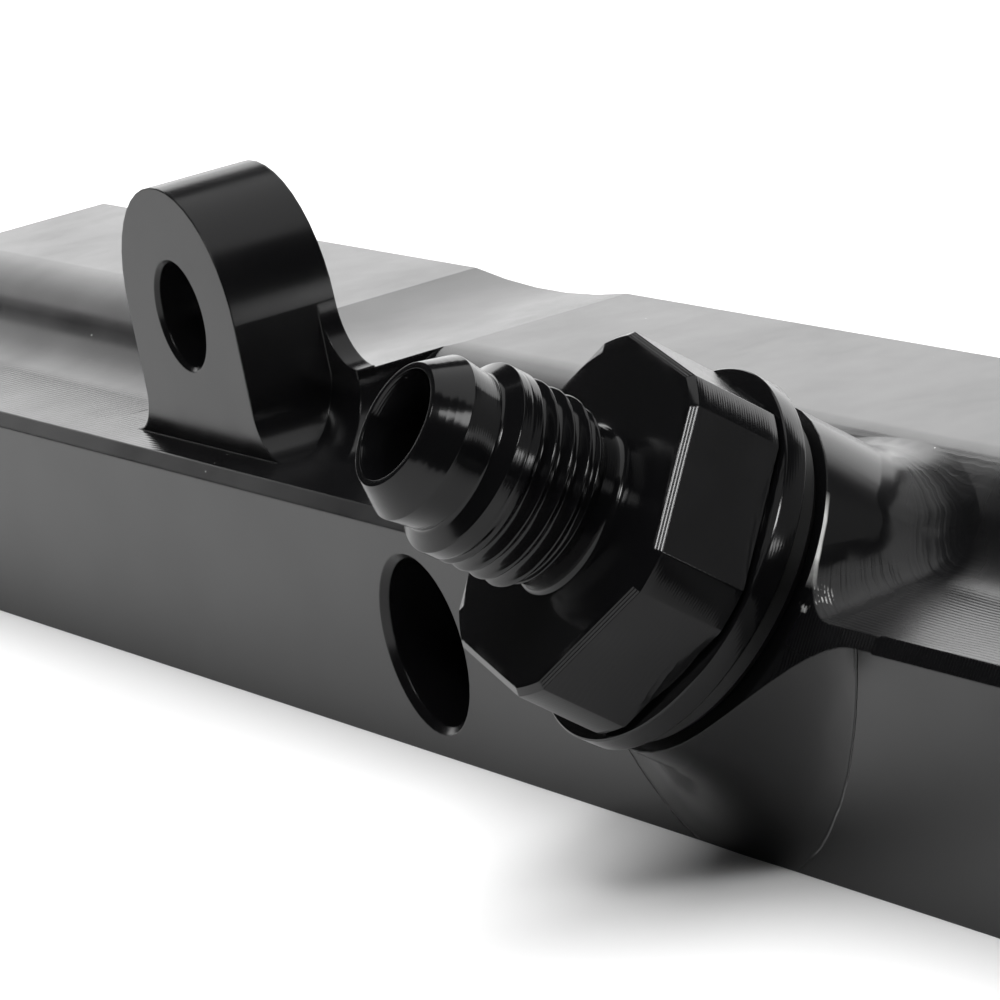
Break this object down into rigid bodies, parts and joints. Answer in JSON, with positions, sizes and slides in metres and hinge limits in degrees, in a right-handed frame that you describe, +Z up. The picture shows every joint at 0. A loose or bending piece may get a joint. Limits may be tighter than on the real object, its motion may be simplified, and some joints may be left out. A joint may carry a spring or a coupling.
{
  "type": "fuel rail",
  "caption": "Billet fuel rail with injector sockets along one side, upright mounting ears and an angled boss that holds a flare inlet adapter.",
  "frame": {"origin": "middle of the bar's flat underside, below the inlet boss", "axes": "+X along the bar, to the right seen from the injector side; -Y out of the injector face; +Z up, the way the ears stand"},
  "size_m": [0.3862, 0.059, 0.0417],
  "materials": {
    "rail_metal": "black anodised over milled billet",
    "fitting_metal": "black anodised over turned bar",
    "rubber": "moulded, matt"
  },
  "bodies": {
    "root": {"rail_body": "rail_metal", "inlet_fitting": "fitting_metal", "inlet_o_ring": "rubber", "end_plug_left": "fitting_metal", "end_plug_right": "fitting_metal", "end_o_ring_left": "rubber", "end_o_ring_right": "rubber"}
  },
  "joints": []
}
